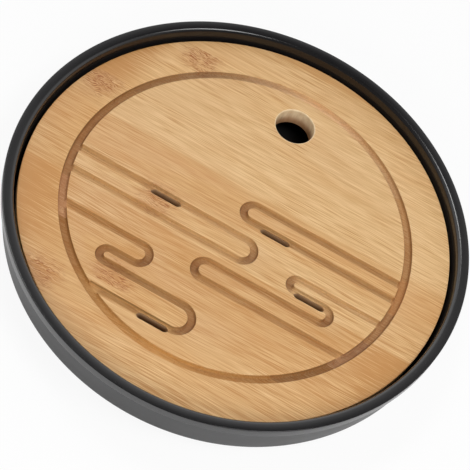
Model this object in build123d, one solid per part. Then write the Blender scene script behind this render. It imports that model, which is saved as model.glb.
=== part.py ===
"""Round gongfu tea tray: a moulded water basin with a loose bamboo drain board.

Millimetres, +Z up, +X along the bamboo grain, the finger hole towards +Y.
The origin is the centre of the base, on the surface that the tray stands on.
"""
from build123d import *
from math import cos, radians, sin, sqrt, tan
import os

# Heights that stack up from the table to the rim
pad_proud = 1.5
pad_boss_proud = 0.5
foot_ring_height = 1.5
floor_thickness = 3.0
water_depth = 10.0
board_thickness = 12.0
rim_above_board = 7.5

# Basin rim and the collar round it
overall_diameter = 255.0
rim_width = 6.2
rim_inner_round = 2.4
collar_height = 5.3
collar_step = 0.45
collar_step_height = 0.8

# Basin wall and its corners
outer_draft_angle = 8.4
inner_draft_angle = 2.5
outer_corner_radius = 9.0
inner_corner_radius = 9.0

# Foot ring moulded under the floor
foot_ring_inset = 33.5
foot_ring_width = 5.0

# Anti-slip pads, each in a socket in a boss on the foot ring
pad_count = 4
pad_first_angle = 45.0
pad_radius = 8.0
pad_thickness = 2.6
pad_clearance = 0.2
pad_boss_wall = 1.8

# Ribs inside the basin that carry the board's edge
rib_count = 6
rib_first_angle = 30.0
rib_thickness = 3.2
rib_under_board = 6.0
rib_nose_bevel = 1.0

# Drain board, loose inside the rim
board_clearance = 1.95
board_top_bevel = 0.4

# Panel of equal bamboo strips that the round board is cut from, and what is trimmed off its
# first and last strips, as shares of a strip's width
strip_count = 11
front_trim_share = 0.144
back_trim_share = 0.771

# Finger hole, between the middle of the board and the back of the ring
finger_hole_diameter = 22.5
finger_hole_inset = 21.3
finger_hole_bevel = 0.6

# Grooves: a ring that follows the board's edge, and four mist bands that fold to and fro inside it
ring_radius_share = 0.8
groove_width = 4.5
groove_depth = 3.0
groove_edge_bevel = 0.3

# Rows of each band and the centres of the half-turns that join them, as shares of the ring radius
left_upper_row_shares = (-0.100, -0.247)
left_upper_turn_shares = (0.099,)
left_lower_row_shares = (-0.465, -0.590, -0.675, -0.846)
left_lower_turn_shares = (-0.374, -0.512, -0.016)
right_upper_row_shares = (0.139, 0.023)
right_upper_turn_shares = (0.055,)
right_lower_row_shares = (-0.164, -0.244, -0.350, -0.471)
right_lower_turn_shares = (0.464, 0.656, -0.015)

# Drain slots through the board, in one row of each band, with their middles as shares
slot_length = 18.6
slot_width = 5.0
slot_setback = 0.9
slot_row_shares = (
    left_upper_row_shares[0],
    right_upper_row_shares[1],
    left_lower_row_shares[3],
    right_lower_row_shares[1],
)
slot_middle_shares = (-0.414, 0.228, -0.113, 0.568)

# How far every cutter runs past the face that it leaves
overrun = 1.0

# A soft corner has three flats that follow the arc of its radius: a wide one between two narrow ones
wide_flat_share = 2 - sqrt(2)
narrow_flat_share = tan(radians(22.5)) - tan(radians(11.25))

# Levels, from the table up
boss_level = pad_proud
foot_ring_level = boss_level + pad_boss_proud
underside_level = foot_ring_level + foot_ring_height
floor_level = underside_level + floor_thickness
board_bottom = floor_level + water_depth
board_top = board_bottom + board_thickness
rim_level = board_top + rim_above_board
collar_bottom = rim_level - collar_height

# Radii that the board and the basin share
inner_slope = tan(radians(inner_draft_angle))
outer_slope = tan(radians(outer_draft_angle))
rim_radius = overall_diameter / 2
inner_rim_radius = rim_radius - rim_width
well_radius = inner_rim_radius - rim_above_board * inner_slope
board_radius = well_radius - board_clearance
ring_radius = board_radius * ring_radius_share
foot_ring_radius = rim_radius - foot_ring_inset


def nearest(corners, radius, level):
    """The corner of an upright section that lies nearest to a radius and a level."""
    return corners.sort_by_distance((radius, level))[0]


def soften(section, radius, level, size):
    """Soften the corner of an upright section that lies nearest to a radius and a level."""
    chamfer(nearest(section.vertices(), radius, level), size * wide_flat_share)
    chamfer(section.vertices().sort_by_distance((radius, level))[:2], size * narrow_flat_share)


def outer_section():
    """Right half of the basin's outer form: underside, corner, drafted wall, collar and rim."""
    collar_foot = collar_bottom - collar_step_height
    wall_radius = rim_radius - collar_step
    wall_foot_radius = wall_radius - (collar_foot - underside_level) * outer_slope
    with BuildSketch(Plane.XZ) as section:
        with BuildLine():
            Polyline(
                (0, rim_level),
                (0, underside_level),
                (wall_foot_radius, underside_level),
                (wall_radius, collar_foot),
                (rim_radius, collar_bottom),
                (rim_radius, rim_level),
                close=True,
            )
        make_face()
        soften(section, wall_foot_radius, underside_level, outer_corner_radius)
    return section.sketch


def cavity_section():
    """Right half of the space inside the basin: drafted wall, round corner and flat floor."""
    foot_radius = inner_rim_radius - (rim_level - floor_level) * inner_slope
    with BuildSketch(Plane.XZ) as section:
        with BuildLine():
            Polyline(
                (0, floor_level),
                (foot_radius, floor_level),
                (inner_rim_radius, rim_level),
                (inner_rim_radius, rim_level + overrun),
                (0, rim_level + overrun),
                close=True,
            )
        make_face()
        soften(section, foot_radius, floor_level, inner_corner_radius)
    return section.sketch


def foot_ring():
    """Ring under the floor that stiffens it and joins the pad bosses."""
    with BuildSketch(Plane.XZ) as section:
        with Locations((foot_ring_radius, foot_ring_level)):
            Rectangle(
                foot_ring_width,
                foot_ring_height + floor_thickness / 2,
                align=(Align.CENTER, Align.MIN),
            )
    return revolve(section.sketch, axis=Axis.Z)


def pad_places():
    """Centres of the pads, evenly spaced round the foot ring."""
    places = []
    for index in range(pad_count):
        angle = radians(pad_first_angle + index * 360 / pad_count)
        places.append((foot_ring_radius * cos(angle), foot_ring_radius * sin(angle)))
    return places


def upright(radius, height):
    """A cylinder that stands on the origin."""
    return Cylinder(radius, height, align=(Align.CENTER, Align.CENTER, Align.MIN))


def pad_boss(x, y):
    """Round boss under the floor, a little prouder than the foot ring."""
    height = underside_level - boss_level + floor_thickness / 2
    return Pos(x, y, boss_level) * upright(pad_radius + pad_clearance + pad_boss_wall, height)


def pad_socket(x, y):
    """Cutter for the socket of one pad."""
    depth = pad_thickness - pad_proud
    return Pos(x, y, boss_level - overrun) * upright(pad_radius + pad_clearance, depth + overrun)


def board_rib(angle):
    """Upright rib in the basin's corner, with a rounded nose under the board's edge."""
    nose_radius = board_radius - rib_under_board
    with BuildSketch(Plane.XZ) as side:
        with Locations((nose_radius, board_bottom)):
            Rectangle(
                rim_radius - nose_radius,
                water_depth + floor_thickness / 2,
                align=(Align.MIN, Align.MAX),
            )
        chamfer(nearest(side.vertices(), nose_radius, board_bottom), rib_nose_bevel)
    return extrude(side.sketch, rib_thickness / 2, both=True).rotate(Axis.Z, angle)


def make_basin():
    """The moulded basin: shell, foot ring, pad bosses with their sockets, and board ribs."""
    outer_form = revolve(outer_section(), axis=Axis.Z)
    with BuildSketch(Plane.XZ) as wall:
        add(outer_section())
        add(cavity_section(), mode=Mode.SUBTRACT)
        soften(wall, inner_rim_radius, rim_level, rim_inner_round)
    basin = revolve(wall.sketch, axis=Axis.Z)
    basin += foot_ring()
    for x, y in pad_places():
        basin += pad_boss(x, y)
    for x, y in pad_places():
        basin -= pad_socket(x, y)
    for index in range(rib_count):
        rib = board_rib(rib_first_angle + index * 360 / rib_count)
        basin += rib & outer_form
    return basin


def make_pad(x, y):
    """One round anti-slip pad, seated on the floor of its socket."""
    return Pos(x, y, 0) * upright(pad_radius, pad_thickness)


def groove_section(plane):
    """Cross-section of the groove cutter, in a plane that stands on the board's top."""
    half_width = groove_width / 2
    flare = groove_edge_bevel + overrun
    with BuildSketch(plane) as section:
        Rectangle(groove_width, groove_depth, align=(Align.CENTER, Align.MAX))
        with BuildLine():
            Polyline(
                (half_width, -groove_edge_bevel),
                (half_width + flare, overrun),
                (-half_width - flare, overrun),
                (-half_width, -groove_edge_bevel),
                close=True,
            )
        make_face()
    return section.sketch


def ring_groove():
    """Cutter for the ring groove."""
    plane = Plane(origin=(ring_radius, 0, board_top), x_dir=(1, 0, 0), z_dir=(0, -1, 0))
    return revolve(groove_section(plane), axis=Axis.Z)


def band_groove(side, row_shares, turn_shares):
    """Cutter for one mist band: rows joined by half-turns, with both ends in the ring groove."""
    rows = [share * ring_radius for share in row_shares]
    turns = [share * ring_radius for share in turn_shares]
    end_radius = ring_radius - groove_width / 4
    with BuildLine(Plane.XY.offset(board_top)) as path:
        here = (side * sqrt(end_radius ** 2 - rows[0] ** 2), rows[0])
        away = -side
        for turn, row, next_row in zip(turns, rows, rows[1:]):
            crest = turn + away * abs(next_row - row) / 2
            Line(here, (turn, row))
            ThreePointArc((turn, row), (crest, (row + next_row) / 2), (turn, next_row))
            here = (turn, next_row)
            away = -away
        Line(here, (side * sqrt(end_radius ** 2 - rows[-1] ** 2), rows[-1]))
    line = path.wires()[0]
    forward = line.tangent_at(0)
    plane = Plane(origin=line.position_at(0), x_dir=Vector(0, 0, 1).cross(forward), z_dir=forward)
    return sweep(groove_section(plane), path=line)


def drain_slot(row_share, middle_share):
    """Cutter for one drain slot, round at both ends, set a little in front of its row."""
    x = middle_share * ring_radius
    y = row_share * ring_radius - slot_setback
    outline = Pos(x, y, board_bottom - overrun) * SlotOverall(slot_length, slot_width)
    return extrude(outline, board_thickness + 2 * overrun)


def make_board():
    """The whole drain board, before it is parted into its strips."""
    with BuildSketch(Plane.XZ) as half:
        with Locations((0, board_bottom)):
            Rectangle(board_radius, board_thickness, align=(Align.MIN, Align.MIN))
        chamfer(nearest(half.vertices(), board_radius, board_top), board_top_bevel)
    board = revolve(half.sketch, axis=Axis.Z)
    hole = upright(finger_hole_diameter / 2, board_thickness + 2 * overrun)
    board -= Pos(0, ring_radius - finger_hole_inset, board_bottom - overrun) * hole
    top_circles = board.edges().filter_by(GeomType.CIRCLE).group_by(Axis.Z)[-1]
    board = chamfer(top_circles.sort_by(SortBy.RADIUS)[0], finger_hole_bevel)
    grooves = ring_groove()
    grooves += band_groove(-1, left_upper_row_shares, left_upper_turn_shares)
    grooves += band_groove(-1, left_lower_row_shares, left_lower_turn_shares)
    grooves += band_groove(1, right_upper_row_shares, right_upper_turn_shares)
    grooves += band_groove(1, right_lower_row_shares, right_lower_turn_shares)
    board -= grooves
    for row_share, middle_share in zip(slot_row_shares, slot_middle_shares):
        board -= drain_slot(row_share, middle_share)
    return board


def make_strips():
    """The board's bamboo strips, from the front edge to the back."""
    board = make_board()
    strip_width = 2 * board_radius / (strip_count - front_trim_share - back_trim_share)
    strip = Box(
        2 * board_radius,
        strip_width,
        board_thickness,
        align=(Align.CENTER, Align.MIN, Align.MIN),
    )
    strips = []
    for index in range(strip_count):
        front = (index - front_trim_share) * strip_width - board_radius
        strips.append(board & Pos(0, front, board_bottom) * strip)
    return strips


os.makedirs("parts", exist_ok=True)
export_step(make_basin(), "parts/basin.step")
for index, place in enumerate(pad_places()):
    export_step(make_pad(*place), f"parts/foot_pad_{index + 1}.step")
for index, strip in enumerate(make_strips()):
    export_step(strip, f"parts/board_strip_{index + 1:02d}.step")
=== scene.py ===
"""Looks of a round gongfu tea tray: a black moulded basin and a carved bamboo drain board.

Metres, +Z up, +X along the bamboo grain, the finger hole towards +Y.
"""

from functools import reduce
from math import ceil, cos, pi, radians, sin, sqrt, tan
from typing import NamedTuple

import bmesh
import bpy
from mathutils import Matrix, Vector


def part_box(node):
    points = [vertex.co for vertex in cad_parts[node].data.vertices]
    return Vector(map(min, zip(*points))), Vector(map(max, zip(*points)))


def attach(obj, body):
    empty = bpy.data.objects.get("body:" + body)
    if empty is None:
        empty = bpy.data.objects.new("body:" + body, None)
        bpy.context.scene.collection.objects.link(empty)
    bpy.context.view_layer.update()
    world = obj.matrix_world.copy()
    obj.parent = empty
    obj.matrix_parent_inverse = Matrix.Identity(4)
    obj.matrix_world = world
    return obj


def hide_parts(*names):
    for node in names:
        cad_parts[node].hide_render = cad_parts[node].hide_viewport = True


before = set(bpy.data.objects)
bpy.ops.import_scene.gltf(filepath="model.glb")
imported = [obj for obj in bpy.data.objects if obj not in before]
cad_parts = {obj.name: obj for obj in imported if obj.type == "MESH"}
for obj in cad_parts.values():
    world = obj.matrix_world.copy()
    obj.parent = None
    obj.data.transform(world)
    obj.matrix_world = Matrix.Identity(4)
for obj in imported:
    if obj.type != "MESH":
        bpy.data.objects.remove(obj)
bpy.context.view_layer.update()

bl_info = {
    "name": "Gongfu Tea Tray",
    "version": (1, 0, 0),
    "blender": (4, 5, 0),
    "location": "View3D > Sidebar > Tea Tray",
    "description": "Builds the basin, pads, bamboo board and studio of a round tea tray",
    "category": "Object",
}

MM = 0.001
STRIP_NODES = sorted(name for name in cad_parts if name.startswith("board_strip"))
PAD_NODES = sorted(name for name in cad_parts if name.startswith("foot_pad"))
BASIN_LOW, BASIN_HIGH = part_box("basin")
BOARD_LOW = Vector([min(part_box(name)[0][axis] for name in STRIP_NODES) for axis in range(3)])
BOARD_HIGH = Vector([max(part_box(name)[1][axis] for name in STRIP_NODES) for axis in range(3)])
RIM_RADIUS = BASIN_HIGH.x
RIM_LEVEL = BASIN_HIGH.z
BOSS_LEVEL = BASIN_LOW.z
BOARD_RADIUS = BOARD_HIGH.x
BOARD_TOP = BOARD_HIGH.z
BOARD_BOTTOM = BOARD_LOW.z

SHARP_ANGLE = radians(40)

# A cutter runs past the board by OVERRUN, and widens by WIDER up to CLEAR over the board's top
OVERRUN = 1 * MM
CLEAR = 0.03 * MM
WIDER = 0.12 * MM


class StripLook(NamedTuple):
    """How one bamboo strip looks."""

    # raw: paler raw bamboo in its grooves, partly their real colour and partly painted light that lifts
    # their shade
    raw_and_painted_light: float  # how raw its grooves are
    tone: float  # paler over 0, darker under it
    warmth: float
    # ends: painted shade that darkens its left and right ends towards the basin's rim; a share under 0
    # paints light there
    ends: tuple = (0, 0)  # how much its left and right ends darken
    # rows: painted shade that darkens the floors and walls of its rows, given separately for each
    rows: tuple = (1, 1, 0)  # how bright the floors and walls of its rows are, and how browned
    # ring: painted light and shade that brighten or darken its ring groove towards the left and right
    ring: tuple = (1, 1, 1)  # how bright its ring groove is at the left and right, and how vivid
    knuckle: tuple = (0, 0, 0)  # where its knuckle lies, in millimetres, and how strong it is


STRIP_LOOKS = {
    "board_strip_01": StripLook(0.12, -0.15, 0.06),
    "board_strip_02": StripLook(
        0.12, -0.15, 0.12, ends=(0.20, 0.15), rows=(0.80, 0.54, 0.9), ring=(0.97, 0.97, 1.05),
        knuckle=(-73, -88, 0.8),
    ),
    "board_strip_03": StripLook(
        0.06, -0.27, 0.16, ends=(0.45, 0.18), rows=(0.73, 0.81, 0.5), ring=(0.97, 0.78, 1.02),
        knuckle=(-41, -70, 0.9),
    ),
    "board_strip_04": StripLook(
        0.06, -0.37, 0.12, ends=(0.32, 0.32), rows=(0.90, 0.86, 0.15), ring=(1.42, 1.06, 0.89)
    ),
    "board_strip_05": StripLook(
        0.16, -0.10, 0.06, ends=(0.10, 0.06), rows=(0.93, 0.92, 0), ring=(1.02, 1.08, 0.98),
        knuckle=(-42, -13, 0.8),
    ),
    "board_strip_06": StripLook(0.12, -0.16, 0.25, rows=(0.78, 0.90, 0.45), ring=(0.98, 1.34, 1)),
    "board_strip_07": StripLook(
        0.12, 0.03, 0, ends=(0.22, -0.05), ring=(0.96, 1.10, 1.02), knuckle=(-104, 36, 1)
    ),
    "board_strip_08": StripLook(0.12, 0.02, 0, ends=(0.64, -0.16), ring=(0.88, 1.12, 1)),
    "board_strip_09": StripLook(
        0.20, 0.04, 0.03, ends=(0.82, 0.04), ring=(0.88, 1.10, 0.94), knuckle=(-66, 84, 1)
    ),
    "board_strip_10": StripLook(0.24, -0.02, 0.06, ring=(1, 1.18, 0.86)),
    "board_strip_11": StripLook(0.24, -0.12, 0.25),
}

# Each mist band: the side of the ring that it starts from, its rows, and the centres of the
# half-turns that join them, as shares of the ring groove's radius
MIST_BANDS = {
    "left_upper": (-1, (-0.100, -0.247), (0.099,)),
    "left_lower": (-1, (-0.465, -0.590, -0.675, -0.846), (-0.374, -0.512, -0.016)),
    "right_upper": (1, (0.139, 0.023), (0.055,)),
    "right_lower": (1, (-0.164, -0.244, -0.350, -0.471), (0.464, 0.656, -0.015)),
}

# Middle and row of each drain slot, as shares of the ring groove's radius
DRAIN_SLOTS = ((-0.414, -0.100), (0.228, 0.023), (-0.113, -0.846), (0.568, -0.244))

# The soft boxes: bearing from the front towards +X, height angle, distance, width, height, power,
# and whether the gloss shows them
SOFT_BOXES = {
    "left_box": (-131, 62, 3.0, 0.95, 0.62, 18.8, True),
    "right_box": (72, 66, 2.0, 0.74, 0.60, 15.2, True),
    "front_fill": (8, 30, 1.2, 0.80, 0.50, 6.0, False),
    "back_fill": (-150, 52, 2.0, 1.20, 0.80, 2.2, False),
}


def colour(red, green, blue):
    """A scene colour from the 0 to 255 values that a screen shows."""
    shares = (red / 255, green / 255, blue / 255)
    return tuple(s / 12.92 if s <= 0.04045 else ((s + 0.055) / 1.055) ** 2.4 for s in shares)


def length_setting(name, description, millimetres):
    """A size that a user can change."""
    default = millimetres * MM
    return bpy.props.FloatProperty(
        name=name, description=description, default=default, min=0, precision=5, unit="LENGTH"
    )


def angle_setting(name, description, degrees):
    """An angle that a user can change."""
    return bpy.props.FloatProperty(
        name=name, description=description, default=radians(degrees), subtype="ANGLE"
    )


def share_setting(name, description, default):
    """A share from 0 to 1 that a user can change."""
    return bpy.props.FloatProperty(name=name, description=description, default=default, min=0, max=1)


def colour_setting(name, description, red, green, blue):
    """A colour that a user can change."""
    default = colour(red, green, blue)
    return bpy.props.FloatVectorProperty(
        name=name, description=description, default=default, min=0, max=1, size=3, subtype="COLOR"
    )


class BasinSettings(bpy.types.PropertyGroup):
    """Sizes and finish of the moulded basin."""

    rim_width: length_setting("Rim width", "Width of the flat rim", 6.2)
    rim_crown: length_setting("Rim crown", "Fall of the rim towards its inner round", 0.22)
    rim_peak_inset: length_setting("Rim peak", "Outer edge to the rim's highest line", 0.7)
    rim_inner_round: length_setting("Inner round", "Round between rim and inner wall", 2.4)
    rim_outer_round: length_setting("Outer round", "Round between rim and collar", 0.35)
    collar_height: length_setting("Collar height", "Height of the collar under the rim", 5.3)
    collar_step: length_setting("Collar step", "How far the collar stands out of the wall", 0.45)
    collar_slope: length_setting("Collar slope", "Height of the slope under the collar", 0.8)
    collar_round: length_setting("Collar round", "Round of the collar's lower edge", 0.35)
    outer_draft: angle_setting("Outer draft", "Taper of the outer wall", 8.4)
    inner_draft: angle_setting("Inner draft", "Taper of the inner wall", 2.5)
    outer_corner: length_setting("Outer corner", "Round of the lower outer corner", 9)
    inner_corner: length_setting("Inner corner", "Round of the lower inner corner", 9)
    floor_thickness: length_setting("Floor", "Thickness of the floor", 3)
    underside: length_setting("Underside", "Height of the underside over the bosses", 2)
    foot_ring_inset: length_setting("Foot ring inset", "Rim to the middle of the foot ring", 33.5)
    foot_ring_width: length_setting("Foot ring width", "Width of the foot ring", 5)
    foot_ring_rise: length_setting("Foot ring rise", "Foot ring over the bosses", 0.5)
    rib_count: bpy.props.IntProperty(name="Ribs", description="Ribs under the board", default=6, min=1)
    rib_thickness: length_setting("Rib thickness", "Thickness of a rib", 3.2)
    rib_under_board: length_setting("Rib reach", "How far a rib is under the board", 6)
    rib_round: length_setting("Rib round", "Round of a rib's nose and top", 0.6)
    plastic: colour_setting("Plastic", "Colour of the moulded plastic", 17, 16, 18)
    roughness: share_setting("Roughness", "How matt the rim and collar are", 0.17)
    wall_roughness: share_setting("Wall roughness", "How matt the wall under the collar is", 0.38)
    collar_coat: share_setting("Collar coat", "Extra shine of the collar's face", 0.5)


class BoardSettings(bpy.types.PropertyGroup):
    """Colours, sizes and finish of the bamboo drain board."""

    light: colour_setting("Light fibres", "Colour of the palest fibres", 237, 199, 144)
    dark: colour_setting("Dark fibres", "Colour of the darkest fibres", 194, 138, 76)
    warm: colour_setting("Warm tint", "Tint of the warmer strips", 206, 146, 81)
    knuckle: colour_setting("Knuckles", "Colour of the knuckle streaks", 166, 98, 40)
    end_grain: colour_setting("End grain", "Tint of the grooves across the grain", 188, 178, 172)
    # Partly painted light: the paler raw colour lifts the grooves' shade
    raw_and_painted_light: colour_setting("Raw", "Colour of the grooves cut along the grain", 250, 216, 158)
    # A browner tint that multiplies the rows and the ring groove
    groove_tint: colour_setting("Toasted", "Tint of the rows that the cutter browned", 255, 246, 228)
    sawn: colour_setting("Sawn", "Colour of the finger hole's wall", 252, 226, 186)
    stained: colour_setting("Stained", "Mottle of the finger hole's wall", 165, 138, 118)
    # Painted light: this pale colour lies near the top of the slots' walls and fades with depth
    slot_wall_and_painted_light: colour_setting("Slot wall", "Colour of the drain slots' walls", 244, 214, 176)
    # Painted shade low down in the drain slots
    slot_painted_shade: colour_setting("Slot depth", "Colour low down in the drain slots", 92, 62, 44)
    ring_radius: length_setting("Ring radius", "Middle of the ring groove", BOARD_RADIUS * 0.8 / MM)
    groove_width: length_setting("Groove width", "Width of every groove", 4.5)
    groove_depth: length_setting("Groove depth", "Depth of every groove", 3)
    groove_corner: length_setting("Groove corner", "Round between floor and walls", 1.5)
    lip_round: length_setting("Lip round", "Round on the edges of the carving", 0.32)
    edge_round: length_setting("Edge round", "Round of the board's edges", 0.4)
    hole_radius: length_setting("Finger hole", "Radius of the finger hole", 11.25)
    hole_inset: length_setting("Finger hole inset", "Ring groove to the hole's middle", 21.3)
    hole_lip: length_setting("Finger hole lip", "Round of the hole's edges", 0.7)
    slot_length: length_setting("Slot length", "Length of each drain slot", 18.6)
    slot_width: length_setting("Slot width", "Width of each drain slot", 5)
    slot_setback: length_setting("Slot setback", "Row to the slot's middle", 0.9)
    roughness: share_setting("Roughness", "How matt the sanded bamboo is", 0.46)


class PadSettings(bpy.types.PropertyGroup):
    """Finish of the anti-slip pads."""

    rubber: colour_setting("Rubber", "Colour of the pads", 46, 46, 47)
    roughness: share_setting("Roughness", "How matt the pads are", 0.72)
    edge_round: length_setting("Edge round", "Round of a pad's lower edge", 0.5)


class StageSettings(bpy.types.PropertyGroup):
    """The camera and the studio."""

    bearing: angle_setting("Bearing", "Camera bearing from the front towards +X", 4.83)
    height_angle: angle_setting("Height angle", "Camera angle over the table", 55.34)
    roll: angle_setting("Roll", "Turn of the camera about its own axis", 25.22)
    distance: length_setting("Distance", "Camera to the point it looks at", 852.45)
    lens: bpy.props.FloatProperty(name="Lens", description="Focal length in mm", default=122.98)
    floor: colour_setting("Floor", "Colour of the floor", 246, 246, 246)
    floor_glow: share_setting("Floor white", "White share that the camera sees", 0.91)
    floor_gloss_glow: share_setting("Floor white in gloss", "White share in reflections", 0.35)


class TeaTraySettings(bpy.types.PropertyGroup):
    """Everything that can be changed on the tea tray."""

    basin: bpy.props.PointerProperty(type=BasinSettings)
    board: bpy.props.PointerProperty(type=BoardSettings)
    pads: bpy.props.PointerProperty(type=PadSettings)
    stage: bpy.props.PointerProperty(type=StageSettings)


class Wiring:
    """Wires a node tree: most calls add a node and return what comes out of it."""

    def __init__(self, tree):
        self.tree = tree

    def node(self, kind, inputs=(), **settings):
        """Adds a node, sets its settings, and links or fills its inputs."""
        node = self.tree.nodes.new(kind)
        for name, value in settings.items():
            setattr(node, name, value)
        for key, value in dict(inputs).items():
            self.feed(node.inputs[key], value)
        return node

    def feed(self, socket, value):
        """Links a socket to another node's output, or gives it a value."""
        if isinstance(value, bpy.types.NodeSocket):
            self.tree.links.new(value, socket)
        elif socket.type == "RGBA" and len(value) == 3:
            socket.default_value = (*value, 1)
        else:
            socket.default_value = value

    def math(self, operation, *values):
        """A Math node."""
        node = self.node("ShaderNodeMath", dict(enumerate(values)), operation=operation)
        return node.outputs["Value"]

    def plus(self, *values):
        """The sum of some values."""
        return reduce(lambda total, value: self.math("ADD", total, value), values)

    def times(self, *values):
        """The product of some values."""
        return reduce(lambda total, value: self.math("MULTIPLY", total, value), values)

    def minus(self, first, second):
        """The first value less the second."""
        return self.math("SUBTRACT", first, second)

    def swing(self, value, size):
        """A value from 0 to 1 as a swing of some size about zero."""
        return self.times(self.minus(value, 0.5), size)

    def vector(self, operation, first, second):
        """A Vector Math node."""
        inputs = {0: first, "Scale" if operation == "SCALE" else 1: second}
        node = self.node("ShaderNodeVectorMath", inputs, operation=operation)
        return node.outputs["Value" if operation == "LENGTH" else "Vector"]

    def length(self, vector, scale=(1, 1, 0)):
        """Length of a vector, as seen from above or with another scale along each axis."""
        return self.vector("LENGTH", self.vector("MULTIPLY", vector, scale), (0, 0, 0))

    def axis(self, vector, name):
        """A vector's X, Y or Z."""
        return self.node("ShaderNodeSeparateXYZ", {0: vector}).outputs[name]

    def noise(self, place, scale, detail=2.0, roughness=0.5):
        """Noise, from 0 to 1, on a place that is stretched by a scale along each axis."""
        stretched = self.vector("MULTIPLY", place, scale)
        inputs = {"Vector": stretched, "Scale": 1.0, "Detail": detail, "Roughness": roughness}
        return self.node("ShaderNodeTexNoise", inputs).outputs["Fac"]

    def ramp(self, value, low, high, start=0.0, end=1.0):
        """Goes smoothly from start to end while a value goes from low to high."""
        inputs = {"Value": value, "From Min": low, "From Max": high, "To Min": start, "To Max": end}
        node = self.node("ShaderNodeMapRange", inputs, interpolation_type="SMOOTHSTEP")
        return node.outputs["Result"]

    def mix(self, share, first, second, blend_type="MIX"):
        """Mixes two colours."""
        inputs = {0: share, 6: first, 7: second}
        return self.node("ShaderNodeMix", inputs, data_type="RGBA", blend_type=blend_type).outputs[2]

    def shared(self, name, inputs):
        """Places a shared node group and returns what comes out of it."""
        return self.node("ShaderNodeGroup", inputs, node_tree=shared_group(name)).outputs


def new_group(name, inputs, outputs):
    """An empty shader node group, and the wiring, inputs and outputs to fill it with."""
    group = bpy.data.node_groups.new(name, "ShaderNodeTree")
    for socket_name, (kind, default) in inputs.items():
        socket = group.interface.new_socket(socket_name, in_out="INPUT", socket_type=f"NodeSocket{kind}")
        if default is not None:
            socket.default_value = default
    for socket_name, kind in outputs.items():
        group.interface.new_socket(socket_name, in_out="OUTPUT", socket_type=f"NodeSocket{kind}")
    wiring = Wiring(group)
    inside = wiring.node("NodeGroupInput").outputs
    outside = wiring.node("NodeGroupOutput").inputs
    return group, wiring, inside, outside


def bamboo_fibre_group():
    """Solid bamboo: long fibres along X, pinstripes, drift of tone, and a knuckle."""
    group, w, given, out = new_group(
        "bamboo_fibre",
        {
            "Place": ("Vector", None),
            "Seed": ("Float", 0.0),
            "Tone": ("Float", 0.0),
            "Warmth": ("Float", 0.0),
            "Knuckle Place": ("Vector", None),
            "Knuckle Strength": ("Float", 0.0),
            "Light": ("Color", (1, 1, 1, 1)),
            "Dark": ("Color", (0, 0, 0, 1)),
            "Warm": ("Color", (1, 0.5, 0.2, 1)),
            "Knuckle Colour": ("Color", (0.5, 0.2, 0.1, 1)),
        },
        {"Color": "Color", "Height": "Float", "Fibre": "Float"},
    )
    offset = w.node("ShaderNodeCombineXYZ", {0: w.times(given["Seed"], 173.0), 1: given["Seed"]})
    place = w.vector("ADD", given["Place"], offset.outputs[0])

    # The knuckle is a ragged spot that bends the fibres round it
    gap = w.vector("SUBTRACT", given["Place"], given["Knuckle Place"])
    ragged = w.times(w.noise(place, (0.11, 0.2, 0.2), 3.0), 0.9)
    ragged = w.plus(w.length(gap, (0.072, 0.085, 0)), ragged)
    knuckle = w.times(w.ramp(ragged, 1.65, 0.75), given["Knuckle Strength"])
    bend = w.swing(w.noise(place, (0.018, 0.05, 0.05), 1.0), 2.6)
    twist = w.times(w.swing(w.noise(place, (0.16, 0.30, 0.30), 2.0), 5.5), knuckle)
    shift = w.node("ShaderNodeCombineXYZ", {1: w.plus(bend, twist)})
    fibre_place = w.vector("ADD", place, shift.outputs[0])

    # Fibres of five widths, livelier in some places than in others
    broad = w.noise(fibre_place, (0.006, 0.16, 0.16), 2.0)
    streak = w.noise(fibre_place, (0.010, 0.62, 0.62), 1.0)
    pin = w.noise(fibre_place, (0.030, 1.5, 1.5), 1.0, 0.6)
    hair = w.noise(fibre_place, (0.065, 3.0, 3.0), 1.0)
    line = w.noise(fibre_place, (0.008, 0.75, 0.75), 1.0)
    thread = w.ramp(w.math("ABSOLUTE", w.minus(line, 0.5)), 0.055, 0.0)
    lively = w.ramp(w.noise(place, (0.016, 0.04, 0.04), 1.0), 0.35, 0.65, 0.75, 1.35)
    fine = w.plus(w.swing(pin, 0.34), w.swing(hair, 2.15), w.times(thread, 0.10))
    dark = w.plus(0.32, w.swing(broad, 0.23), w.swing(streak, 0.08), w.times(fine, lively))
    dark = w.node("ShaderNodeClamp", {"Value": w.minus(dark, given["Tone"])}).outputs[0]
    shade = w.mix(dark, given["Light"], given["Dark"])
    stain = w.ramp(w.noise(place, (0.014, 0.07, 0.07), 2.0), 0.45, 0.75)
    shade = w.mix(w.plus(given["Warmth"], w.times(stain, 0.22)), shade, given["Warm"])

    # Rays and wavy crests over the knuckle
    rays = w.ramp(w.noise(fibre_place, (0.22, 1.1, 1.1), 3.0, 0.65), 0.42, 0.64)
    wander = w.times(w.noise(place, (0.13, 0.22, 0.22), 2.0), 6.0)
    wave = w.math("SINE", w.times(w.plus(w.axis(place, "Y"), wander), 5.6))
    patches = w.ramp(w.noise(place, (0.25, 0.6, 0.6), 2.0), 0.4, 0.6, 0.2, 1.0)
    crest = w.times(w.ramp(wave, -0.6, 1.0), patches)
    knot = w.times(w.plus(w.times(rays, 0.34), w.times(crest, 0.98), 0.14), knuckle)
    w.feed(out["Color"], w.mix(knot, shade, given["Knuckle Colour"]))
    w.feed(out["Height"], w.plus(w.times(pin, 0.5), w.times(hair, 0.5), w.times(crest, knuckle, -0.8)))
    w.feed(out["Fibre"], dark)
    return group


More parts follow.
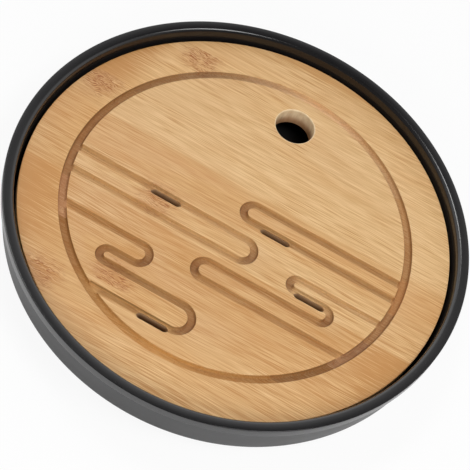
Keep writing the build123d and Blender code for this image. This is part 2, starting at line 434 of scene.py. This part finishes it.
def carving_group():
    """Masks of the carved faces under a flat top: routed grooves, and what is cut right through."""
    group, w, given, out = new_group(
        "carved_depth",
        {"Place": ("Vector", None), "Top Level": ("Float", 28.5), "Groove Depth": ("Float", 3.0)},
        {name: "Float" for name in ("Carved", "Wall", "Through", "Deep", "Fuzz", "Ticks")},
    )
    below = w.minus(given["Top Level"], w.axis(given["Place"], "Z"))
    deeper = w.minus(below, given["Groove Depth"])
    carved = w.ramp(below, 0.12, 0.7)
    w.feed(out["Carved"], carved)
    w.feed(out["Wall"], w.times(carved, w.ramp(deeper, -0.4, -2.0)))
    w.feed(out["Through"], w.ramp(deeper, 0.05, 0.3))
    w.feed(out["Deep"], w.ramp(deeper, 0.5, 7.0))
    w.feed(out["Fuzz"], w.ramp(w.noise(given["Place"], (1.6, 1.6, 0.5), 3.0, 0.65), 0.38, 0.66))
    w.feed(out["Ticks"], w.ramp(w.noise(given["Place"], (1.1, 0.25, 0.25), 1.0), 0.66, 0.78))
    return group


def moulded_skin_group():
    """Skin of a moulded part: faint flow marks, fine dust and a soft orange peel."""
    group, w, given, out = new_group(
        "moulded_skin",
        {"Place": ("Vector", None), "Color": ("Color", (0, 0, 0, 1)), "Roughness": ("Float", 0.3)},
        {"Color": "Color", "Roughness": "Float", "Height": "Float"},
    )
    flow = w.noise(given["Place"], (0.03, 0.03, 0.10), 3.0)
    dust = w.ramp(w.noise(given["Place"], (0.9, 0.9, 0.9), 4.0, 0.7), 0.62, 0.80)
    lighter = w.mix(w.times(dust, 0.05), given["Color"], (0.5, 0.5, 0.5))
    w.feed(out["Color"], w.mix(w.times(flow, 0.25), lighter, (0.03, 0.028, 0.027)))
    w.feed(out["Roughness"], w.plus(given["Roughness"], w.swing(flow, 0.10), w.times(dust, 0.08)))
    w.feed(out["Height"], w.noise(given["Place"], (0.7, 0.7, 0.7), 2.0))
    return group


def shared_group(name):
    """A node group by name, built the first time it is asked for."""
    makers = {
        "bamboo_fibre": bamboo_fibre_group,
        "carved_depth": carving_group,
        "moulded_skin": moulded_skin_group,
    }
    return bpy.data.node_groups.get(name) or makers[name]()


def new_material(name):
    """An empty material with its shader, and the piece's own place in millimetres."""
    material = bpy.data.materials.new(name)
    material.use_nodes = True
    w = Wiring(material.node_tree)
    shader = material.node_tree.nodes["Principled BSDF"]
    spot = w.node("ShaderNodeTexCoord")
    place = w.vector("MULTIPLY", spot.outputs["Object"], (1 / MM, 1 / MM, 1 / MM))
    return material, w, shader, place


def bump(w, shader, height, depth):
    """Feeds a height to a shader's normal, as a relief of some depth in metres."""
    node = w.node("ShaderNodeBump", {"Strength": 1.0, "Distance": depth, "Height": height})
    w.feed(shader.inputs["Normal"], node.outputs["Normal"])


def strip_fibre(w, place, radius, index, look, settings):
    """The bamboo of one strip before it is carved."""
    along = w.axis(place, "X")
    # Painted shade darkens the strip's ends and the board's edge towards the basin's rim; an end share
    # under 0 paints light there
    left, right = look.ends
    start, stop = 78, 104  # where the ends darken, in millimetres from the middle
    ends = (w.ramp(along, -start, -stop, 0.0, left), w.ramp(along, start, stop, 0.0, right))
    edge = w.ramp(radius, 92, 119, 0.0, 0.09)
    knuckle_x, knuckle_y, knuckle_strength = look.knuckle
    inputs = {
        "Place": place,
        "Seed": index * 1.7 + 3.1,
        "Tone": w.minus(look.tone, w.plus(*ends, edge)),
        "Warmth": w.plus(look.warmth, w.ramp(along, 50, -110, 0.0, 0.13)),
        "Knuckle Place": (knuckle_x, knuckle_y, 0),
        "Knuckle Strength": knuckle_strength,
        "Light": settings.light,
        "Dark": settings.dark,
        "Warm": settings.warm,
        "Knuckle Colour": settings.knuckle,
    }
    return w.shared("bamboo_fibre", inputs)


def groove_colour(w, place, radius, shade, carving, look, settings):
    """Adds the grooves to a strip's colour: paler along the grain, greyer across it, with painted light
    and shade on their floors and walls.
    """
    carved, wall = carving["Carved"], carving["Wall"]
    along = w.axis(place, "X")
    half = settings.groove_width / 2 / MM
    beside = w.math("ABSOLUTE", w.minus(radius, settings.ring_radius / MM))
    ring = w.times(w.ramp(beside, half + 1.2, half), carved)
    ring_crossing = w.times(w.math("DIVIDE", w.math("ABSOLUTE", along), radius), ring)
    turning = w.node("ShaderNodeAttribute", attribute_name="end_grain").outputs["Fac"]
    crossing = w.math("MAXIMUM", w.times(turning, carved), ring_crossing)
    row = w.times(w.minus(carved, ring), w.minus(1.0, crossing))

    # The raw colour pales the grooves, more on the walls: partly raw bamboo, partly painted light
    # against their shade
    raw_and_painted_light = w.plus(w.times(carved, look.raw_and_painted_light), w.times(wall, 0.16))
    shade = w.mix(w.times(raw_and_painted_light, w.minus(1.0, w.times(crossing, 0.8))), shade, settings.raw_and_painted_light)
    # Painted shade darkens the rows' floors and walls, and painted light and shade brighten or darken
    # the ring groove towards its left and right
    floor_share, wall_share, row_browning = look.rows
    left_share, right_share, vividness = look.ring
    ring_share = w.ramp(along, -25, 25, left_share, right_share)
    painted_light_and_shade = w.plus(
        1.0,
        w.times(row, floor_share - 1),
        w.times(row, wall, wall_share - floor_share),
        w.times(ring, w.minus(ring_share, 1.0)),
    )
    shade = w.vector("SCALE", shade, painted_light_and_shade)
    # A browner tint over the rows and the ring groove
    browning = w.plus(w.times(row, row_browning), w.times(ring, 0.55))
    shade = w.mix(browning, shade, settings.groove_tint, "MULTIPLY")
    shade = w.mix(crossing, shade, settings.end_grain, "MULTIPLY")
    vivid = w.plus(1.0, w.times(ring, vividness - 1))
    shade = w.node("ShaderNodeHueSaturation", {"Saturation": vivid, "Color": shade}).outputs["Color"]
    fuzz = w.times(carving["Fuzz"], w.plus(w.times(carved, 0.12), w.times(crossing, 0.25)))
    specks = w.plus(fuzz, w.times(carving["Ticks"], carved, 0.30))
    return w.mix(specks, shade, settings.knuckle)


def opening_colour(w, place, shade, carving, settings):
    """Adds the walls of the drain slots and of the finger hole to a strip's colour, with painted light
    near the top of the slots and painted shade low in the slots and the hole.
    """
    through, deep = carving["Through"], carving["Deep"]
    middle = (0, (settings.ring_radius - settings.hole_inset) / MM, 0)
    away = w.length(w.vector("SUBTRACT", place, middle))
    lip_out = (settings.hole_radius + 0.92 * settings.hole_lip) / MM
    lip_in = (settings.hole_radius + 0.66 * settings.hole_lip) / MM
    sawn = w.ramp(away, lip_out, lip_in)
    shade = w.mix(w.times(through, 0.45), shade, settings.stained)
    # Painted light: the slots' walls are paler near the top and fade with depth
    pale = w.math("MAXIMUM", w.minus(0.85, w.plus(sawn, w.times(deep, 1.3))), 0.0)
    shade = w.mix(w.times(through, pale), shade, settings.slot_wall_and_painted_light)
    # Painted shade darkens everything low down except the finger hole's wall, such as the deep part of
    # the drain slots
    shade = w.mix(w.times(deep, w.minus(1.0, sawn), 0.8), shade, settings.slot_painted_shade)
    mottle = w.ramp(w.noise(place, (0.5, 0.5, 0.12), 3.0, 0.6), 0.35, 0.7, 0.95, 0.55)
    shade = w.mix(w.times(sawn, mottle), shade, settings.sawn)
    # Painted shade: the finger hole's wall turns brown low down
    return w.mix(w.times(sawn, deep, 0.62), shade, settings.knuckle)


def bamboo_material(node, settings):
    """Sanded bamboo for one strip, browner in the carving, with painted light and shade in its grooves
    and openings.
    """
    look = STRIP_LOOKS[node]
    material, w, shader, place = new_material("bamboo_" + node[-2:])
    radius = w.length(place)
    fibre = strip_fibre(w, place, radius, STRIP_NODES.index(node), look, settings)
    levels = {"Top Level": BOARD_TOP / MM, "Groove Depth": settings.groove_depth / MM}
    carving = w.shared("carved_depth", {"Place": place, **levels})
    shade = groove_colour(w, place, radius, fibre["Color"], carving, look, settings)
    w.feed(shader.inputs["Base Color"], opening_colour(w, place, shade, carving, settings))
    carved = carving["Carved"]
    matt = w.plus(settings.roughness, w.times(carved, 0.25), w.swing(fibre["Fibre"], 0.12))
    w.feed(shader.inputs["Roughness"], matt)
    relief = w.plus(fibre["Height"], w.times(carving["Fuzz"], carved, 1.2))
    bump(w, shader, relief, 0.05 * MM)
    return material


def feed_skin(w, shader, place, base, roughness, relief):
    """Gives a shader a moulded skin, with a relief of some depth in metres."""
    skin = w.shared("moulded_skin", {"Place": place, "Color": base, "Roughness": roughness})
    w.feed(shader.inputs["Base Color"], skin["Color"])
    w.feed(shader.inputs["Roughness"], skin["Roughness"])
    bump(w, shader, skin["Height"], relief)


def plastic_material(settings):
    """Black moulded plastic: the rim and the collar shine, and the wall below is more matt."""
    material, w, shader, place = new_material("moulded_black")
    level = w.axis(place, "Z")
    rim = RIM_LEVEL / MM
    edge = RIM_RADIUS / MM
    collar_low = (RIM_LEVEL - settings.collar_height) / MM
    finish = w.ramp(level, collar_low - 1, collar_low, settings.wall_roughness, settings.roughness)
    feed_skin(w, shader, place, settings.plastic, finish, 0.006 * MM)
    over_wall = w.ramp(level, collar_low - 0.3, collar_low + 0.3)
    under_rim = w.ramp(level, rim - 0.1, rim - 0.5)
    outside = w.ramp(w.length(place), edge - 2.5, edge - 0.5)
    coat = w.times(over_wall, under_rim, outside, settings.collar_coat)
    w.feed(shader.inputs["Coat Weight"], coat)
    shader.inputs["Coat Roughness"].default_value = 0.2
    return material


def rubber_material(settings):
    """Matt dark rubber for the pads."""
    material, w, shader, place = new_material("pad_rubber")
    feed_skin(w, shader, place, settings.rubber, settings.roughness, 0.02 * MM)
    return material


def sweep(first, last, steps):
    """Values from first to last in equal steps."""
    return [first + (last - first) * k / steps for k in range(steps + 1)]


def rounded(corners, step=radians(9)):
    """Points of an outline whose corners, (radius, height, round), are drawn as arcs."""
    points = []
    for index, (x, y, size) in enumerate(corners):
        if not size:
            points.append((x, y))
            continue
        here = Vector((x, y))
        back = (Vector(corners[index - 1][:2]) - here).normalized()
        ahead = (Vector(corners[index + 1][:2]) - here).normalized()
        half = back.angle(ahead) / 2
        centre = here + (back + ahead).normalized() * (size / sin(half))
        start = here + back * (size / tan(half)) - centre
        end = here + ahead * (size / tan(half)) - centre
        turn = start.angle(end)
        for share in sweep(0, 1, max(2, ceil(turn / step))):
            spoke = start * (sin((1 - share) * turn) / sin(turn)) + end * (sin(share * turn) / sin(turn))
            points.append(tuple(centre + spoke))
    return points


def disc_outline(radius, low, high, low_round=0, high_round=0, step=radians(9)):
    """Outline of a disc about its axis, with a soft lower and upper edge."""
    corners = [(0, low, 0), (radius, low, low_round), (radius, high, high_round), (0, high, 0)]
    return rounded(corners, step)


def spun(points, steps, centre=(0, 0), closed=False):
    """A solid of revolution from an outline that starts and ends on its axis, or is closed."""
    shape = bmesh.new()
    rings = []
    for radius, height in points:
        ring = []
        for k in range(steps if radius > 1e-6 else 1):
            angle = 2 * pi * k / steps
            spot = (centre[0] + radius * cos(angle), centre[1] + radius * sin(angle), height)
            ring.append(shape.verts.new(spot))
        rings.append(ring)
    for first, second in zip(rings, rings[1:] + rings[:1] if closed else rings[1:]):
        for k in range(steps):
            following = (k + 1) % steps
            corners = [first[k % len(first)], first[following % len(first)]]
            corners += [second[following % len(second)], second[k % len(second)]]
            unique = list(dict.fromkeys(corners))
            if len(unique) > 2:
                shape.faces.new(unique)
    bmesh.ops.recalc_face_normals(shape, faces=shape.faces)
    return shape


def as_piece(shape, name, material, body):
    """Turns a bmesh into a smooth-shaded piece that rides on a body."""
    mesh = bpy.data.meshes.new(name)
    shape.to_mesh(mesh)
    shape.free()
    mesh.polygons.foreach_set("use_smooth", [True] * len(mesh.polygons))
    mesh.set_sharp_from_angle(angle=SHARP_ANGLE)
    mesh.materials.clear()
    mesh.materials.append(material)
    piece = bpy.data.objects.new(name, mesh)
    bpy.context.scene.collection.objects.link(piece)
    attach(piece, body)
    return piece


def combine(piece, operand_shape, operation):
    """Adds or cuts an operand, given as a bmesh, and applies the result to a piece."""
    mesh = bpy.data.meshes.new("operand")
    operand_shape.to_mesh(mesh)
    operand_shape.free()
    operand = bpy.data.objects.new("operand", mesh)
    bpy.context.scene.collection.objects.link(operand)
    modifier = piece.modifiers.new(operation.lower(), "BOOLEAN")
    modifier.operation = operation
    modifier.object = operand
    modifier.solver = "EXACT"
    bpy.context.view_layer.update()
    graph = bpy.context.evaluated_depsgraph_get()
    result = bpy.data.meshes.new_from_object(piece.evaluated_get(graph))
    piece.modifiers.clear()
    piece.data = result
    bpy.data.objects.remove(operand)
    bpy.data.meshes.remove(mesh)


def joined(shapes):
    """Several bmeshes as one."""
    whole = bmesh.new()
    for shape in shapes:
        mesh = bpy.data.meshes.new("part")
        shape.to_mesh(mesh)
        shape.free()
        whole.from_mesh(mesh)
        bpy.data.meshes.remove(mesh)
    return whole


def lofted(loops):
    """A closed solid from a row of loops, each with the same number of corners."""
    shape = bmesh.new()
    rows = [[shape.verts.new(spot) for spot in loop] for loop in loops]
    for first, second in zip(rows, rows[1:]):
        for k in range(len(first)):
            following = (k + 1) % len(first)
            shape.faces.new((first[k], first[following], second[following], second[k]))
    shape.faces.new(list(reversed(rows[0])))
    shape.faces.new(rows[-1])
    bmesh.ops.recalc_face_normals(shape, faces=shape.faces)
    return shape


def prism(outline, side):
    """An upright solid from a flat outline, widened up its side by (distance, level)."""
    loops = []
    for wider, level in side:
        loop = []
        for k, (x, y) in enumerate(outline):
            along = Vector(outline[(k + 1) % len(outline)]) - Vector(outline[k - 1])
            outward = Vector((along.y, -along.x)).normalized() * wider
            loop.append((x + outward.x, y + outward.y, level))
        loops.append(loop)
    return lofted(loops)


def swept(path, section):
    """A closed solid from an upright section that follows a level path of (place, heading)."""
    loops = []
    for place, heading in path:
        side = Vector((heading.y, -heading.x))
        loops.append([(*(place + side * across), level) for across, level in section])
    return lofted(loops)


def cutter_side(half, lip, tilt, steps):
    """Side of a cutter, (distance, level), from over the board down a round lip to upright."""
    side = []
    for turn in sweep(tilt, pi / 2, steps):
        side.append((half + lip - lip * sin(turn), BOARD_TOP - lip + lip * cos(turn)))
    mouth = side[0][0] + WIDER
    return [(mouth, BOARD_TOP + OVERRUN), (mouth, BOARD_TOP + CLEAR)] + side


def groove_section(settings):
    """Upright section of a groove's cutter: round lips, upright walls and a round-cornered floor."""
    half = settings.groove_width / 2
    corner = settings.groove_corner
    side = cutter_side(half, settings.lip_round, radians(14), 4)
    for turn in sweep(0, pi / 2, 6):
        level = BOARD_TOP - settings.groove_depth + corner - corner * sin(turn)
        side.append((half - corner + corner * cos(turn), level))
    return side + [(-across, level) for across, level in reversed(side)]


def band_path(band, settings):
    """Middle line of a mist band, with both ends in the ring groove, and its half-turns."""
    start_side, row_shares, turn_shares = band
    ring = settings.ring_radius
    rows = [share * ring for share in row_shares]
    end_radius = ring - settings.groove_width / 4
    ends = [Vector((start_side * sqrt(end_radius**2 - row**2), row)) for row in (rows[0], rows[-1])]
    away = -start_side
    path = [(ends[0], Vector((away, 0)))]
    turns = []
    for share, row, next_row in zip(turn_shares, rows, rows[1:]):
        centre = Vector((share * ring, (row + next_row) / 2))
        radius = (row - next_row) / 2
        for turn in sweep(0, pi, 24):
            spoke = Vector((away * sin(turn), cos(turn)))
            heading = Vector((away * cos(turn), -sin(turn)))
            path.append((centre + spoke * radius, heading))
        turns.append((centre, radius, away))
        away = -away
    path.append((ends[1], Vector((away, 0))))
    return path, turns


def end_grain(spot, turns, settings):
    """How far a half-turn runs across the grain at a place: 0 along it, 1 straight across."""
    reach = settings.groove_width / 2 + 0.4 * MM
    for centre, turn_radius, away in turns:
        spoke = spot - centre
        if abs(spoke.length - turn_radius) < reach and spoke.x * away > 0:
            return abs(spoke.x) / spoke.length
    return 0.0


def slot_cutter(x, y, settings):
    """Cutter for one drain slot, round at both ends, with a small lip at the top."""
    radius = settings.slot_width / 2
    reach = settings.slot_length / 2 - radius
    steps = 32
    outline = []
    for k in range(steps):
        turn = 2 * pi * (k + 0.5) / steps
        middle = x + (reach if cos(turn) > 0 else -reach)
        outline.append((middle + radius * cos(turn), y + radius * sin(turn)))
    side = cutter_side(0, settings.lip_round, radians(14), 4)
    return prism(outline, [(0, BOARD_BOTTOM - OVERRUN), *reversed(side)])


def hole_cutter(settings):
    """Cutter for the finger hole, with a round lip at the top and a smaller one below."""
    radius = settings.hole_radius
    side = cutter_side(radius, settings.hole_lip, radians(12), 5)
    flare = side[2:]
    small = 0.6
    below = [(radius + (r - radius) * small, BOARD_BOTTOM + (BOARD_TOP - z) * small) for r, z in flare]
    foot = below[0][0] + WIDER
    outline = [(0, BOARD_BOTTOM - OVERRUN), (foot, BOARD_BOTTOM - OVERRUN)]
    outline += [(foot, BOARD_BOTTOM - 0.02 * MM), *below, *reversed(side), (0, BOARD_TOP + OVERRUN)]
    return spun(outline, 96, (0, settings.ring_radius - settings.hole_inset))


def strip_blank(low, high, settings):
    """One strip of the round board before it is carved, with soft outer edges."""
    size = settings.edge_round
    outline = disc_outline(BOARD_RADIUS, BOARD_BOTTOM, BOARD_TOP, size, size, radians(15))
    shape = spun(outline[1:-1], 360)
    open_edges = [edge for edge in shape.edges if edge.is_boundary]
    for level in (BOARD_BOTTOM, BOARD_TOP):
        rim = [edge for edge in open_edges if abs(edge.verts[0].co.z - level) < MM]
        bmesh.ops.contextual_create(shape, geom=rim)
    for level, outward in ((low, -1), (high, 1)):
        if abs(level) > BOARD_RADIUS - 0.1 * MM:
            continue
        everything = [*shape.verts, *shape.edges, *shape.faces]
        bmesh.ops.bisect_plane(
            shape, geom=everything, plane_co=(0, level, 0), plane_no=(0, outward, 0), clear_outer=True
        )
        bmesh.ops.contextual_create(shape, geom=[edge for edge in shape.edges if edge.is_boundary])
    bmesh.ops.recalc_face_normals(shape, faces=shape.faces)
    return shape


def meets(shape, low, high):
    """Whether a cutter reaches the band of board between two places along Y."""
    levels = [vertex.co.y for vertex in shape.verts]
    return min(levels) < high and max(levels) > low


def soften_shading(piece, turns, settings):
    """Smooth shading with flat flats, and the turns' run across the grain as an attribute."""
    mesh = piece.data
    level_face = 0.9999
    for face in mesh.polygons:
        face.use_smooth = abs(face.normal.z) < level_face
    mesh.set_sharp_from_angle(angle=radians(38))
    crossing = mesh.attributes.new("end_grain", "FLOAT", "POINT")
    for vertex in mesh.vertices:
        if vertex.co.z < BOARD_TOP - 0.01 * MM:
            crossing.data[vertex.index].value = end_grain(vertex.co.xy, turns, settings)


def basin_outline(settings):
    """Outline of the basin, from the middle of its underside round to the middle of its floor."""
    inner_radius = RIM_RADIUS - settings.rim_width
    underside = BOSS_LEVEL + settings.underside
    floor = underside + settings.floor_thickness
    peak_radius = RIM_RADIUS - settings.rim_peak_inset
    crown_width = peak_radius - inner_radius - settings.rim_inner_round
    edge_fall = settings.rim_crown * (1 + 2 * settings.rim_inner_round / crown_width)
    edge_level = RIM_LEVEL - edge_fall
    collar_low = RIM_LEVEL - settings.collar_height
    slope_low = collar_low - settings.collar_slope
    wall_radius = RIM_RADIUS - settings.collar_step
    foot_radius = wall_radius - (slope_low - underside) * tan(settings.outer_draft)
    inner_foot_radius = inner_radius - (edge_level - floor) * tan(settings.inner_draft)
    ring = RIM_RADIUS - settings.foot_ring_inset
    ring_in = ring - settings.foot_ring_width / 2
    ring_out = ring + settings.foot_ring_width / 2
    ring_low = BOSS_LEVEL + settings.foot_ring_rise
    crown = []
    for share in sweep(0, 1, 6):
        crown.append((peak_radius - crown_width * share, RIM_LEVEL - settings.rim_crown * share**2, 0))
    ring_foot = 0.5 * MM
    ring_edge = 0.7 * MM
    return rounded(
        [
            (0, underside, 0),
            (ring_in, underside, ring_foot),
            (ring_in, ring_low, ring_edge),
            (ring_out, ring_low, ring_edge),
            (ring_out, underside, ring_foot),
            (foot_radius, underside, settings.outer_corner),
            (wall_radius, slope_low, settings.collar_round),
            (RIM_RADIUS, collar_low, settings.collar_round),
            (RIM_RADIUS, RIM_LEVEL, settings.rim_outer_round),
            *crown,
            (inner_radius, edge_level, settings.rim_inner_round),
            (inner_foot_radius, floor, settings.inner_corner),
            (inner_foot_radius / 2, floor, 0),
            (0, floor, 0),
        ]
    )


def board_rib(bearing, settings):
    """One moulded rib that carries the board's edge, with its foot and back sunk in the basin."""
    nose = BOARD_RADIUS - settings.rib_under_board
    floor = BOSS_LEVEL + settings.underside + settings.floor_thickness
    outline = [
        (nose, floor - 1.5 * MM),
        (nose + 3 * MM, floor - 1.3 * MM),
        (nose + 8.5 * MM, floor + 3.5 * MM),
        (nose + 9.5 * MM, BOARD_BOTTOM),
        (nose, BOARD_BOTTOM),
    ]
    half = settings.rib_thickness / 2
    shape = lofted([[(radius, across, level) for radius, level in outline] for across in (-half, half)])
    tiny = 1e-6
    soft_edges = []
    for edge in shape.edges:
        on_top = min(vertex.co.z for vertex in edge.verts) > BOARD_BOTTOM - tiny
        on_nose = max(vertex.co.x for vertex in edge.verts) < nose + tiny
        if on_top or on_nose:
            soft_edges.append(edge)
    size = settings.rib_round
    bmesh.ops.bevel(shape, geom=soft_edges, offset=size, segments=3, profile=0.5, affect="EDGES")
    turn = Matrix.Rotation(bearing, 3, "Z")
    bmesh.ops.rotate(shape, verts=shape.verts, cent=(0, 0, 0), matrix=turn)
    return shape


def pad_centres():
    """Centres of the pads, read from the frame."""
    centres = []
    for name in PAD_NODES:
        low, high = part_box(name)
        centres.append(((low.x + high.x) / 2, (low.y + high.y) / 2))
    return centres


class TEATRAY_OT_basin(bpy.types.Operator):
    """Builds the moulded basin with its ribs, foot ring and pad bosses"""

    bl_idname = "teatray.basin"
    bl_label = "Basin"

    def execute(self, context):
        settings = context.scene.tea_tray.basin
        material = plastic_material(settings)
        shell = spun(basin_outline(settings), 288)
        basin = as_piece(shell, "moulded_basin", material, "basin")
        pad_low, pad_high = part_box(PAD_NODES[0])

        # Each pad sits in a socket with a little clearance, and the socket in a boss
        clearance, wall, edge_round = 0.2 * MM, 1.8 * MM, 0.5 * MM
        socket_radius = (pad_high.x - pad_low.x) / 2 + clearance
        socket = disc_outline(socket_radius, BOSS_LEVEL - OVERRUN, pad_high.z)
        boss_top = BOSS_LEVEL + settings.underside + OVERRUN
        boss = disc_outline(socket_radius + wall, BOSS_LEVEL, boss_top, edge_round)
        first, apart = 30, 360 / settings.rib_count  # in degrees from +X
        ribs = [board_rib(radians(first + apart * k), settings) for k in range(settings.rib_count)]
        bosses = [spun(boss, 64, centre) for centre in pad_centres()]
        sockets = [spun(socket, 64, centre) for centre in pad_centres()]
        combine(basin, joined(ribs + bosses), "UNION")
        combine(basin, joined(sockets), "DIFFERENCE")
        basin.data.set_sharp_from_angle(angle=SHARP_ANGLE)
        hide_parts("basin")
        return {"FINISHED"}


class TEATRAY_OT_pads(bpy.types.Operator):
    """Builds the anti-slip pads"""

    bl_idname = "teatray.pads"
    bl_label = "Pads"

    def execute(self, context):
        settings = context.scene.tea_tray.pads
        material = rubber_material(settings)
        for number, (name, centre) in enumerate(zip(PAD_NODES, pad_centres()), 1):
            low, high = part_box(name)
            radius = (high.x - low.x) / 2
            shape = spun(disc_outline(radius, low.z, high.z, settings.edge_round), 72, centre)
            pad = as_piece(shape, f"rubber_pad_{number}", material, "basin")
            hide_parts(name)
        return {"FINISHED"}


class TEATRAY_OT_board(bpy.types.Operator):
    """Builds the bamboo strips of the drain board with their carving, slots and finger hole"""

    bl_idname = "teatray.board"
    bl_label = "Drain board"

    def execute(self, context):
        settings = context.scene.tea_tray.board
        section = groove_section(settings)
        paths = [band_path(band, settings) for band in MIST_BANDS.values()]
        turns = [turn for _, band_turns in paths for turn in band_turns]
        ring = settings.ring_radius
        slots = [(x * ring, y * ring - settings.slot_setback) for x, y in DRAIN_SLOTS]
        for name in STRIP_NODES:
            low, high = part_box(name)[0].y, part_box(name)[1].y
            blank = strip_blank(low, high, settings)
            piece_name = "bamboo_" + name[-2:]
            strip = as_piece(blank, piece_name, bamboo_material(name, settings), "drain_board")
            ring_cutter = spun([(ring + across, level) for across, level in section], 360, closed=True)
            bands = [swept(path, section) for path, _ in paths]
            openings = [slot_cutter(x, y, settings) for x, y in slots]
            openings.append(hole_cutter(settings))
            for cutters in ([ring_cutter], bands, openings):
                needed = [cutter for cutter in cutters if meets(cutter, low, high)]
                if needed:
                    combine(strip, joined(needed), "DIFFERENCE")
            soften_shading(strip, turns, settings)
            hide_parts(name)
        return {"FINISHED"}


def camera_side(bearing, height_angle):
    """Direction with a bearing from the front towards +X and a height angle over the table."""
    across = cos(height_angle)
    return Vector((sin(bearing) * across, -cos(bearing) * across, sin(height_angle)))


def soft_box(name, bearing, height_angle, distance, width, height, power, shows):
    """A rectangular soft light that faces the tray."""
    light = bpy.data.lights.new(name, "AREA")
    light.shape = "RECTANGLE"
    light.size = width
    light.size_y = height
    light.energy = power
    lamp = bpy.data.objects.new(name, light)
    direction = camera_side(radians(bearing), radians(height_angle))
    lamp.location = direction * distance
    lamp.rotation_euler = direction.to_track_quat("Z", "Y").to_euler()
    lamp.visible_glossy = shows
    bpy.context.scene.collection.objects.link(lamp)


def studio_world():
    """Pale room light: bright at the horizon and dimmer overhead, white to the camera."""
    world = bpy.data.worlds.new("studio")
    world.use_nodes = True
    w = Wiring(world.node_tree)
    background = world.node_tree.nodes["Background"]
    direction = w.node("ShaderNodeTexCoord").outputs["Generated"]
    low = w.ramp(w.axis(direction, "Z"), 0.62, 0.92, 1.0, 0.0)
    behind = w.ramp(w.axis(direction, "Y"), -0.6, 0.4, 0.05, 1.0)
    leftward = w.ramp(w.axis(direction, "X"), 0.3, -0.5, 1.0, 1.45)
    overhead, horizon, matt_share = 0.12, 1.2, 0.26
    glow = w.plus(overhead, w.times(low, behind, leftward, horizon))
    path = w.node("ShaderNodeLightPath").outputs
    strength = w.ramp(path["Is Glossy Ray"], 0.0, 1.0, matt_share, 1.0)
    room = w.vector("SCALE", (1, 1, 1), w.times(glow, strength))
    w.feed(background.inputs["Color"], w.mix(path["Is Camera Ray"], room, (1, 1, 1)))
    background.inputs["Strength"].default_value = 1.0
    bpy.context.scene.world = world


def studio_floor(settings):
    """A pale floor that keeps the tray's shadow."""
    bpy.ops.mesh.primitive_circle_add(vertices=128, radius=6.0, fill_type="NGON", location=(0, 0, 0))
    floor = bpy.context.object
    floor.name = "studio_floor"
    material, w, shader, place = new_material("studio_paper")
    tooth = w.noise(place, (0.4, 0.4, 0.4), 3.0)
    w.feed(shader.inputs["Base Color"], w.mix(w.times(tooth, 0.06), settings.floor, (1, 1, 1)))
    shader.inputs["Roughness"].default_value = 0.9
    shader.inputs["Specular IOR Level"].default_value = 0.1
    path = w.node("ShaderNodeLightPath").outputs
    seen = w.times(path["Is Camera Ray"], settings.floor_glow)
    seen = w.math("MAXIMUM", seen, w.times(path["Is Glossy Ray"], settings.floor_gloss_glow))
    lift = w.node("ShaderNodeEmission", {"Color": (1, 1, 1), "Strength": 1.0})
    both = w.node("ShaderNodeMixShader", {0: seen, 1: shader.outputs["BSDF"], 2: lift.outputs[0]})
    w.feed(material.node_tree.nodes["Material Output"].inputs["Surface"], both.outputs[0])
    floor.data.materials.append(material)


def studio_camera(settings):
    """The camera, at the angle that the tray is shown from."""
    aim = Vector((0.00253, -0.01058, BOARD_TOP))
    direction = camera_side(settings.bearing, settings.height_angle)
    data = bpy.data.cameras.new("camera")
    data.sensor_width = 36  # millimetres, as the lens
    data.lens = settings.lens
    camera = bpy.data.objects.new("camera", data)
    turn = direction.to_track_quat("Z", "Y").to_matrix() @ Matrix.Rotation(settings.roll, 3, "Z")
    camera.matrix_world = Matrix.Translation(aim + direction * settings.distance) @ turn.to_4x4()
    bpy.context.scene.collection.objects.link(camera)
    bpy.context.scene.camera = camera


class TEATRAY_OT_stage(bpy.types.Operator):
    """Sets up the floor, the room light, the soft boxes and the camera"""

    bl_idname = "teatray.stage"
    bl_label = "Studio"

    def execute(self, context):
        settings = context.scene.tea_tray.stage
        studio_world()
        studio_floor(settings)
        for name, facts in SOFT_BOXES.items():
            soft_box(name, *facts)
        studio_camera(settings)
        context.scene.view_settings.view_transform = "Standard"
        return {"FINISHED"}


class TEATRAY_PT_panel(bpy.types.Panel):
    """Lists the builders and settings of the tea tray"""

    bl_idname = "TEATRAY_PT_panel"
    bl_label = "Gongfu Tea Tray"
    bl_space_type = "VIEW_3D"
    bl_region_type = "UI"
    bl_category = "Tea Tray"

    def draw(self, context):
        settings = context.scene.tea_tray
        for operator in OPERATORS:
            self.layout.operator(operator.bl_idname)
        for group in (settings.basin, settings.board, settings.pads, settings.stage):
            column = self.layout.box().column()
            for name in group.__annotations__:
                column.prop(group, name)


SETTINGS = (BasinSettings, BoardSettings, PadSettings, StageSettings, TeaTraySettings)
OPERATORS = (TEATRAY_OT_basin, TEATRAY_OT_pads, TEATRAY_OT_board, TEATRAY_OT_stage)


def register():
    """Registers the settings, operators and panel."""
    for kind in (*SETTINGS, *OPERATORS, TEATRAY_PT_panel):
        bpy.utils.register_class(kind)
    bpy.types.Scene.tea_tray = bpy.props.PointerProperty(type=TeaTraySettings)


def unregister():
    """Removes the settings, operators and panel."""
    del bpy.types.Scene.tea_tray
    for kind in reversed((*SETTINGS, *OPERATORS, TEATRAY_PT_panel)):
        bpy.utils.unregister_class(kind)


def main():
    """Builds the tray and the studio."""
    register()
    bpy.ops.teatray.basin()
    bpy.ops.teatray.pads()
    bpy.ops.teatray.board()
    bpy.ops.teatray.stage()


if __name__ == "__main__":
    main()
